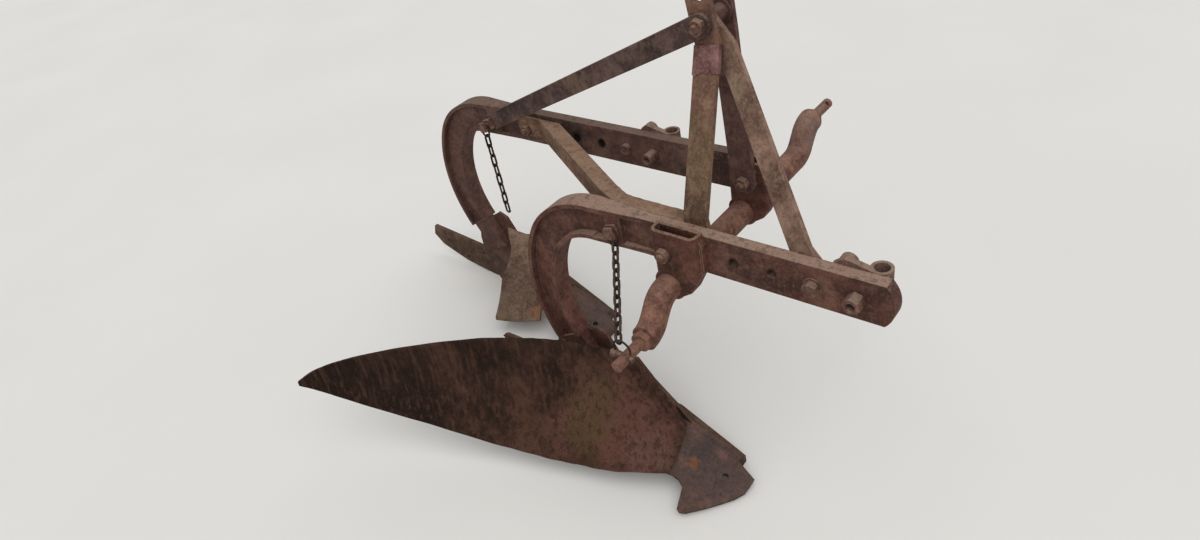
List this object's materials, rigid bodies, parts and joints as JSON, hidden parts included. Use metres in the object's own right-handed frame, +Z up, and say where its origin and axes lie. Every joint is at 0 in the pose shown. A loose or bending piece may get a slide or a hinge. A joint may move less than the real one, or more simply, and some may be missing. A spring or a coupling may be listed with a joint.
{
  "type": "moldboard plough",
  "caption": "Worn mounted plough: staggered gooseneck beams, cranked link shaft and mast, bare frogs, landsides and one curved mouldboard.",
  "frame": {"origin": "middle of the bounding box, on the floor that the noses and landsides stand on", "axes": "+X forward, the way it is drawn; +Y to its left; +Z up"},
  "size_m": [1.617, 1.039, 1.01],
  "materials": {
    "cast": "rusted casting with traces of red oxide",
    "beam": "brown rust, worn old paint in the hollows",
    "bar": "brown rust with yellow-green lichen",
    "shaft": "even dark red-brown rust",
    "clamp": "old red oxide over rust",
    "board": "dark rust in upright streaks",
    "land": "brown rust",
    "chain": "nearly black rust",
    "sleeve": "faded pink-red paint, torn and rusted",
    "bracket": "rust with grey-buff lichen"
  },
  "bodies": {
    "root": {"beam_front": "beam", "beam_rear": "beam", "cross_shaft": "shaft", "shaft_clamp_front": "clamp", "shaft_clamp_rear": "clamp", "mast_leg_right": "bar", "mast_leg_left": "bar", "mast_upright": "bar", "mast_spacer": "cast", "rear_stay": "bar", "beam_brace": "bar", "torn_sleeve": "sleeve", "frog_front": "cast", "frog_rear": "cast", "frog_face_front": "cast", "frog_face_rear": "cast", "landside_front": "land", "landside_rear": "land", "mouldboard": "board", "board_stay": "bar", "coulter_bracket_front": "bracket", "coulter_bracket_rear": "bracket", "chain_front": "chain", "chain_rear": "chain", "linch_pin": "chain", "linch_ring": "chain"}
  },
  "joints": []
}
